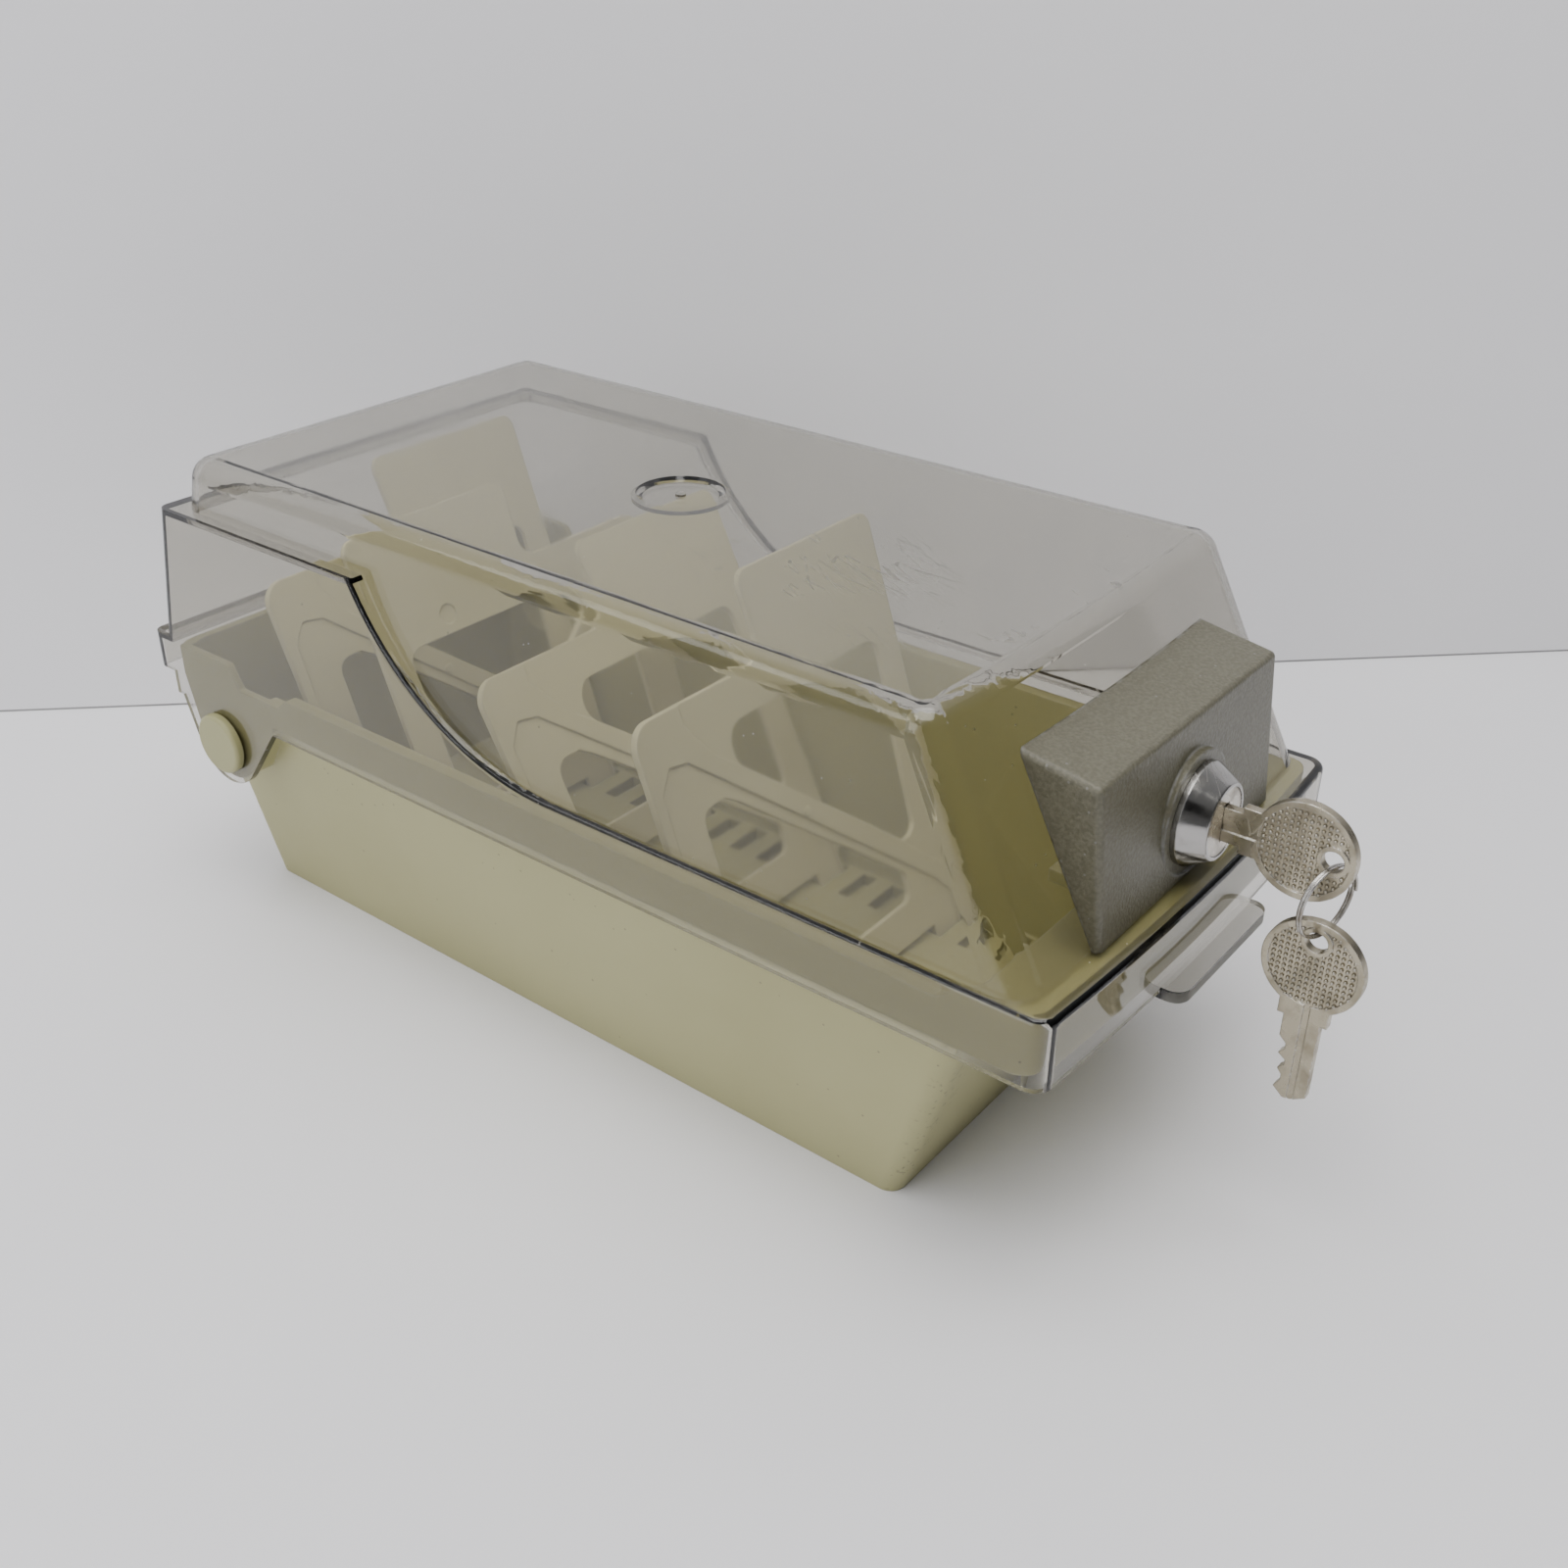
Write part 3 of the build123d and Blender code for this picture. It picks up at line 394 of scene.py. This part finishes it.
nodeLooks = {
    "tray": trayPlastic,
    "lid": lidPlastic,
    "lock_housing": housingPlastic,
    "hinge_pin_left": pinPlastic,
    "hinge_pin_right": pinPlastic,
    "divider_1": dividerPlastic,
    "divider_2": dividerPlastic,
    "divider_3": dividerPlastic,
    "divider_4": dividerPlastic,
    "lock_body": metals["chrome"],
    "lock_nut": metals["steel"],
    "lock_washer": metals["steel"],
    "lock_plug": metals["plug"],
    "wafers": metals["plug"],
    "cam": metals["steel"],
    "cam_washer": metals["steel"],
    "cam_screw": metals["steel"],
    "key_in_lock": metals["key"],
    "spare_key": metals["key"],
    "split_ring": metals["ring"],
}
for nodeName, material in nodeLooks.items():
    node = frame["nodes"][nodeName]
    if not node.material_slots:
        node.data.materials.append(material)
    for slot in node.material_slots:
        slot.material = material
print("CAD nodes dressed")


# new geometry node group with named inputs and one geometry output
def startGeometry(name, inputs):
    group = bpy.data.node_groups.new(name, "GeometryNodeTree")
    for label, (kind, value) in inputs.items():
        socket = group.interface.new_socket(label, in_out="INPUT", socket_type=kind)
        if value is not None:
            socket.default_value = value
    group.interface.new_socket("Geometry", in_out="OUTPUT", socket_type="NodeSocketGeometry")
    return group, group.nodes.new("NodeGroupInput"), group.nodes.new("NodeGroupOutput")


# runs a geometry group, keeps its result as a plain mesh and hangs it on a body
def bakeGeometry(name, group, values, place, body):
    carrier = bpy.data.objects.new(name + "_carrier", bpy.data.meshes.new(name + "_carrier"))
    bpy.context.scene.collection.objects.link(carrier)
    modifier = carrier.modifiers.new("maker", "NODES")
    modifier.node_group = group
    for item in group.interface.items_tree:
        if item.item_type == "SOCKET" and item.in_out == "INPUT" and item.name in values:
            modifier[item.identifier] = values[item.name]
    graph = bpy.context.evaluated_depsgraph_get()
    mesh = bpy.data.meshes.new_from_object(carrier.evaluated_get(graph), depsgraph=graph)
    carrier.modifiers.remove(modifier)
    bpy.data.objects.remove(carrier)
    mesh.name = name
    mesh.transform(place)
    piece = bpy.data.objects.new(name, mesh)
    bpy.context.scene.collection.objects.link(piece)
    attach(piece, body)
    return piece


# one Math node in a geometry group
def mathNodeGeometry(group, operation, first, second):
    return addNode(group, "ShaderNodeMath", {"operation": operation}, i0=first, i1=second).outputs[0]


ringValues = {"Radius": 0.0079, "Wire": 0.00033, "Pitch": 0.00068, "Turns": 2.0}


# two turns of spring wire, a hair apart
def makeSpringRing():
    group, given, result = startGeometry("springRing", {
        "Radius": ("NodeSocketFloat", 0.008), "Wire": ("NodeSocketFloat",
                                                       0.0005), "Pitch": ("NodeSocketFloat", 0.001),
        "Turns": ("NodeSocketFloat", 2.0), "Material": ("NodeSocketMaterial", None)})
    height = mathNodeGeometry(group, "MULTIPLY", given.outputs["Pitch"], given.outputs["Turns"])
    spiral = addNode(group, "GeometryNodeCurveSpiral", Resolution=64, Rotations=given.outputs["Turns"],
                     Start_Radius=given.outputs["Radius"], End_Radius=given.outputs["Radius"], Height=height)
    circle = addNode(group, "GeometryNodeCurvePrimitiveCircle", Resolution=14, Radius=given.outputs["Wire"])
    tube = addNode(group, "GeometryNodeCurveToMesh", Curve=spiral.outputs[0], Profile_Curve=circle.outputs[0],
                   Fill_Caps=True)
    real = addNode(group, "GeometryNodeRealizeInstances", Geometry=tube.outputs[0])
    painted = addNode(group, "GeometryNodeSetMaterial", Geometry=real.outputs[0],
                      Material=given.outputs["Material"])
    group.links.new(painted.outputs[0], result.inputs[0])
    return group


ringLow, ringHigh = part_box("split_ring")
ringCentre = (Vector(ringLow) + Vector(ringHigh)) / 2
halfStack = ringValues["Pitch"] * ringValues["Turns"] / 2
ringJoint = next(joint for joint in frame["joints"] if joint["name"] == "ring_swing")
ringAxis = Vector(ringJoint["axis"]).normalized()
ringNormal = Vector((0, 0, 1)).cross(ringAxis)
ringPlace = (Matrix.Translation(ringCentre - ringNormal * halfStack)
             @ Matrix((ringAxis, Vector((0, 0, -1)), ringNormal)).transposed().to_4x4())
springRing = bakeGeometry("spring_ring", makeSpringRing(), dict(ringValues, Material=metals["ring"]),
                          ringPlace,
                          "ring")
for polygon in springRing.data.polygons:
    polygon.use_smooth = True
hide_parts("split_ring")

dotValues = {"Spacing": 0.00115, "Head": 0.0095, "Hole Offset": 0.006, "Hole": 0.0034, "Dot": 0.00046,
             "Rise": 0.0008}


# rows of small raised dots on both faces of a key's head, clear of its hole
def makeHeadDots():
    group, given, result = startGeometry("headDots", {
        "Spacing": ("NodeSocketFloat", 0.001), "Head": ("NodeSocketFloat", 0.009),
        "Hole Offset": ("NodeSocketFloat", 0.006), "Hole": ("NodeSocketFloat", 0.003),
        "Dot": ("NodeSocketFloat", 0.0004), "Rise": ("NodeSocketFloat", 0.0007),
        "Material": ("NodeSocketMaterial", None)})
    size = mathNodeGeometry(group, "MULTIPLY", given.outputs["Head"], 2.0)
    count = mathNodeGeometry(group, "DIVIDE", size, given.outputs["Spacing"])
    grid = addNode(group, "GeometryNodeMeshGrid", Size_X=size, Size_Y=size, Vertices_X=count,
                   Vertices_Y=count)
    position = addNode(group, "GeometryNodeInputPosition").outputs[0]
    fromMiddle = addNode(group, "ShaderNodeVectorMath", {"operation": "LENGTH"}, i0=position).outputs["Value"]
    holePoint = addNode(group, "ShaderNodeCombineXYZ", X=given.outputs["Hole Offset"]).outputs[0]
    fromHole = addNode(group, "ShaderNodeVectorMath", {"operation": "DISTANCE"}, i0=position,
                       i1=holePoint).outputs["Value"]
    outside = addNode(group, "ShaderNodeMath", {"operation": "GREATER_THAN"}, i0=fromMiddle,
                      i1=given.outputs["Head"]).outputs[0]
    inHole = addNode(group, "ShaderNodeMath", {"operation": "LESS_THAN"}, i0=fromHole,
                     i1=given.outputs["Hole"]).outputs[0]
    dropped = mathNodeGeometry(group, "ADD", outside, inHole)
    kept = addNode(group, "GeometryNodeDeleteGeometry", {"domain": "POINT"}, Geometry=grid.outputs[0],
                   Selection=dropped)
    dot = addNode(group, "GeometryNodeMeshUVSphere", Segments=8, Rings=4, Radius=given.outputs["Dot"])
    joined = addNode(group, "GeometryNodeJoinGeometry")
    for side in (-1.0, 1.0):
        rise = mathNodeGeometry(group, "MULTIPLY", given.outputs["Rise"], side)
        shift = addNode(group, "ShaderNodeCombineXYZ", Z=rise).outputs[0]
        face = addNode(group, "GeometryNodeTransform", Geometry=kept.outputs[0], Translation=shift)
        dots = addNode(group, "GeometryNodeInstanceOnPoints", Points=face.outputs[0], Instance=dot.outputs[0])
        group.links.new(dots.outputs[0], joined.inputs[0])
    real = addNode(group, "GeometryNodeRealizeInstances", Geometry=joined.outputs[0])
    painted = addNode(group, "GeometryNodeSetMaterial", Geometry=real.outputs[0],
                      Material=given.outputs["Material"])
    group.links.new(painted.outputs[0], result.inputs[0])
    return group


headDots = makeHeadDots()
keyLow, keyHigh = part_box("key_in_lock")
keyHead = Vector(((keyLow[0] + keyHigh[0]) / 2, keyLow[1] + (keyHigh[2] - keyLow[2]) / 2,
                  (keyLow[2] + keyHigh[2]) / 2))
keyFrame = Matrix(((0, 0, 1), (-1, 0, 0), (0, -1, 0))).to_4x4()
bakeGeometry("key_in_lock_dots", headDots, dict(dotValues, Material=metals["key"]),
             Matrix.Translation(keyHead) @ keyFrame, "key")
spareLow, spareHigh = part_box("spare_key")
spareHead = Vector(((spareLow[0] + spareHigh[0]) / 2, (spareLow[1] + spareHigh[1]) / 2,
                    spareHigh[2] - (spareHigh[1] - spareLow[1]) / 2))
spareFrame = Matrix(((0, 0, 1), (0, -1, 0), (1, 0, 0))).to_4x4()
bakeGeometry("spare_key_dots", headDots, dict(dotValues, Material=metals["key"]),
             Matrix.Translation(spareHead) @ spareFrame, "spare")
print("ring and key details made")


stageValues = {
    "colour": (0.84, 0.835, 0.855, 1.0),
    "mottle": (0.81, 0.805, 0.83, 1.0),
    "size": 3.0,
    "wallHalf": 1.2,
    "wallRise": (0.12, 0.12, 1.2),
    "creasePoint": (0.012, 0.200),
    "creaseTurn": -46.2,
    "creaseShadowHeight": 0.0007,
}


# matt paper, seen from its front only
def makeStagePaper():
    material, tree, output = startMaterial("stagePaper")
    noise = addNode(tree, "ShaderNodeTexNoise", Vector=objectPoint(tree), Scale=6.0, Detail=6.0)
    fibres = addNode(tree, "ShaderNodeTexNoise", Vector=objectPoint(tree), Scale=900.0, Detail=2.0)
    colour = mixColour(tree, mapRange(tree, noise.outputs[0], 0.3, 0.7), stageValues["colour"],
                       stageValues["mottle"])
    bump = addNode(tree, "ShaderNodeBump", Height=fibres.outputs[0], Strength=0.05, Distance=0.0002)
    paper = addNode(tree, "ShaderNodeBsdfPrincipled", Base_Color=colour, Roughness=0.7,
                    Normal=bump.outputs[0],
                    Specular_IOR_Level=0.25)
    through = addNode(tree, "ShaderNodeBsdfTransparent")
    geometry = addNode(tree, "ShaderNodeNewGeometry")
    mixed = addNode(tree, "ShaderNodeMixShader", i0=geometry.outputs["Backfacing"], i1=paper.outputs[0],
                    i2=through.outputs[0])
    tree.links.new(mixed.outputs[0], output.inputs["Surface"])
    return material


# one flat stage sheet
def addSheet(name, corners, material):
    mesh = bpy.data.meshes.new(name)
    mesh.from_pydata(corners, [], [tuple(range(len(corners)))])
    mesh.materials.append(material)
    sheet = bpy.data.objects.new(name, mesh)
    bpy.context.scene.collection.objects.link(sheet)
    return sheet


paper = makeStagePaper()
reach = stageValues["size"]
floorZ = cadBox[0][2]
addSheet("floor", [(-reach, -reach, floorZ), (reach, -reach, floorZ), (reach, reach, floorZ),
                   (-reach, reach, floorZ)],
         paper)
turn = math.radians(stageValues["creaseTurn"])
alongCrease = Vector((math.cos(turn), math.sin(turn), 0))
creaseMiddle = Vector((stageValues["creasePoint"][0], stageValues["creasePoint"][1], floorZ))
leftEnd = creaseMiddle - alongCrease * stageValues["wallHalf"]
rightEnd = creaseMiddle + alongCrease * stageValues["wallHalf"]
wallRise = Vector(stageValues["wallRise"])
# painted shade: a thin dark grey strip at the foot of the wall stands in for the shadow in the join of floor
# and wall; the wall starts above it
creaseShadowRise = Vector((0, 0, stageValues["creaseShadowHeight"]))
creaseShadowMaterial, darkTree, darkOutput = startMaterial("creaseShade")
shade = addNode(darkTree, "ShaderNodeTexNoise", Vector=objectPoint(darkTree), Scale=40.0)
shadeColour = mixColour(darkTree, shade.outputs[0], grey(0.22), grey(0.40))
darkFront = addNode(darkTree, "ShaderNodeBsdfDiffuse", Color=shadeColour)
darkBack = addNode(darkTree, "ShaderNodeBsdfTransparent")
darkFacing = addNode(darkTree, "ShaderNodeNewGeometry").outputs["Backfacing"]
darkMix = addNode(darkTree, "ShaderNodeMixShader", i0=darkFacing, i1=darkFront.outputs[0],
                  i2=darkBack.outputs[0])
darkTree.links.new(darkMix.outputs[0], darkOutput.inputs["Surface"])
addSheet("crease", [leftEnd, rightEnd, rightEnd + creaseShadowRise, leftEnd + creaseShadowRise], creaseShadowMaterial)
leftEnd = leftEnd + creaseShadowRise
rightEnd = rightEnd + creaseShadowRise
addSheet("wall", [leftEnd, rightEnd, rightEnd + wallRise, leftEnd + wallRise], paper)

lightValues = {
    "overhead": ((-0.20, -0.20, 1.30), 1.1, 0.9, 14.5, (1.0, 0.99, 0.97)),
    "left": ((-0.72, 0.74, 0.98), 0.9, 0.35, 2.4, (0.97, 0.98, 1.0)),
    "side": ((-1.35, 0.10, 0.60), 0.8, 0.8, 4.4, (0.97, 0.98, 1.0)),
}


# soft area light aimed at the object
def addLight(name, place, width, depth, power, colour):
    lamp = bpy.data.lights.new(name, "AREA")
    lamp.shape = "RECTANGLE"
    lamp.size = width
    lamp.size_y = depth
    lamp.energy = power
    lamp.color = colour
    holder = bpy.data.objects.new(name, lamp)
    holder.location = place
    aim = Vector((0.0, -0.02, 0.06)) - Vector(place)
    holder.rotation_euler = aim.to_track_quat("-Z", "Y").to_euler()
    bpy.context.scene.collection.objects.link(holder)


for lightName, settings in lightValues.items():
    addLight(lightName, *settings)

worldValues = {"base": 0.37, "sky": 0.37, "left": 0.24, "front": 0.24, "colour": (0.93, 0.94, 0.97, 1.0)}


# soft room light: bright above and to the left, dim in front
def makeRoom():
    room = bpy.data.worlds.new("room")
    room.use_nodes = True
    tree = room.node_tree
    background = tree.nodes["Background"]
    toward = addNode(tree, "ShaderNodeSeparateXYZ", Vector=addNode(tree,
                                                                   "ShaderNodeTexCoord").outputs["Generated"])
    above = mapRange(tree, toward.outputs[2], 0.25, 0.85, 0.0, worldValues["sky"])
    aside = mapRange(tree, toward.outputs[0], -0.2, -0.8, 0.0, worldValues["left"])
    front = mapRange(tree, toward.outputs[1], -0.10, -0.75, 1.0, worldValues["front"])
    total = mathNode(tree, "ADD", mathNode(tree, "ADD", above, aside), worldValues["base"])
    tree.links.new(mathNode(tree, "MULTIPLY", total, front), background.inputs["Strength"])
    background.inputs["Color"].default_value = worldValues["colour"]
    return room


bpy.context.scene.world = makeRoom()

cameraValues = {"place": (-0.2809, -0.2582, 0.2634), "heading": 52.088, "down": 29.847, "roll": 0.404,
                "lens": 38.71}
heading = math.radians(90.0 - cameraValues["heading"])
down = math.radians(cameraValues["down"])
forward = Vector((math.cos(heading) * math.cos(down), math.sin(heading) * math.cos(down), -math.sin(down)))
right = forward.cross(Vector((0, 0, 1))).normalized()
upward = right.cross(forward)
rollTurn = math.radians(cameraValues["roll"])
rolledRight = right * math.cos(rollTurn) + upward * math.sin(rollTurn)
rolledUp = upward * math.cos(rollTurn) - right * math.sin(rollTurn)
lens = bpy.data.cameras.new("camera")
lens.sensor_width = 36.0
lens.lens = cameraValues["lens"]
lens.clip_start = 0.01
viewer = bpy.data.objects.new("camera", lens)
viewer.matrix_world = Matrix.Translation(cameraValues["place"]) @ Matrix((rolledRight, rolledUp,
                                                                          -forward)).transposed().to_4x4()
bpy.context.scene.collection.objects.link(viewer)
bpy.context.scene.camera = viewer

cardValues = {"middle": (-0.62, -0.66, 0.52), "width": 0.50, "height": 0.30, "shade": 0.02}
cardMaterial, cardTree, cardOutput = startMaterial("roomShade")
cardTree.links.new(addNode(cardTree, "ShaderNodeBsdfDiffuse", Color=grey(cardValues["shade"])).outputs[0],
                   cardOutput.inputs["Surface"])
cardMiddle = Vector(cardValues["middle"])
cardAcross = cardMiddle.cross(Vector((0, 0, 1))).normalized() * cardValues["width"] / 2
cardUp = cardAcross.cross(cardMiddle).normalized() * cardValues["height"] / 2
cardCorners = [cardMiddle - cardAcross - cardUp, cardMiddle + cardAcross - cardUp,
               cardMiddle + cardAcross + cardUp, cardMiddle - cardAcross + cardUp]
card = addSheet("room_shade", cardCorners, cardMaterial)
card.visible_camera = False
card.visible_transmission = False
card.visible_diffuse = False
card.visible_shadow = False
print("stage, light and camera made")
